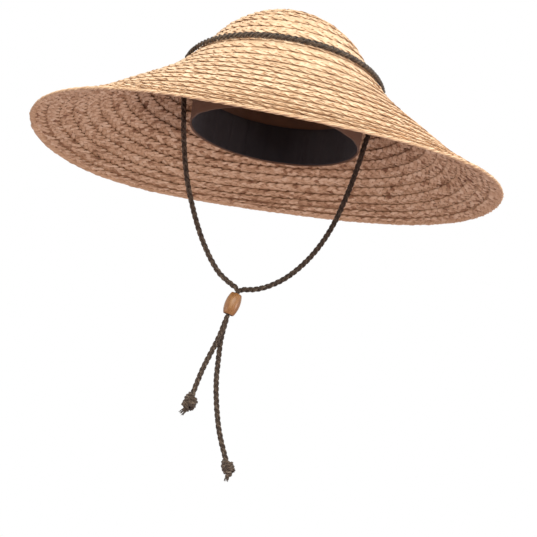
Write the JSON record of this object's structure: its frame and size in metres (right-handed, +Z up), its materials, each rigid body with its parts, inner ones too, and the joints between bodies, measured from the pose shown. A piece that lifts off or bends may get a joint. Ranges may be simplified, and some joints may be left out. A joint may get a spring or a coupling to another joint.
{
  "type": "straw sun hat",
  "caption": "Wide-brimmed sun hat of sewn straw braid with a plaited crown cord, a hanging headband and a plaited chin cord closed by a sliding wooden bead.",
  "frame": {"origin": "centre of the head opening, in the plane of the headband's lower edge", "axes": "+Z up along the crown, -Y to the front, +X to the hat's side with the longer chin tail"},
  "size_m": [0.4619, 0.4572, 0.4577],
  "materials": {
    "straw": "sewn straw braid, matt with a light sheen",
    "rim_straw": "last braid row, smooth pale edge",
    "wire": "plain drawn wire",
    "band_cloth": "tan cotton twill",
    "sweat_cloth": "black knitted lining",
    "thread": "polyester thread",
    "cord": "plaited waxed cotton, dark olive brown",
    "bead_wood": "turned and lacquered"
  },
  "bodies": {
    "hat": {"crown_braid": "straw", "brim_braid": "straw", "rim_braid_row": "rim_straw", "rim_wire": "wire", "headband": "band_cloth", "sweatband": "sweat_cloth", "headband_stitches": "thread", "crown_cord_front": "cord", "crown_cord_back": "cord", "crown_cord_tacks": "thread"},
    "chin_strap": {"chin_cord_left": "cord", "chin_cord_right": "cord", "cord_tail_left": "cord", "cord_tail_right": "cord", "knot_left": "cord", "knot_right": "cord", "cord_end_left": "cord", "cord_end_right": "cord"},
    "bead": {"stopper_bead": "bead_wood"}
  },
  "joints": [
    {"name": "chin_strap_swing", "type": "hinge", "parent": "hat", "child": "chin_strap", "pos_m": [0, 0, 0.048], "axis": [1, 0, 0], "range_deg": [-64, 66]},
    {"name": "bead_slide", "type": "slide", "parent": "chin_strap", "child": "bead", "axis": [-0.225, 0, -0.9744], "range_m": [-0.04, 0.055], "deforming": ["chin_cord_left", "chin_cord_right", "cord_tail_left", "cord_tail_right"]}
  ]
}
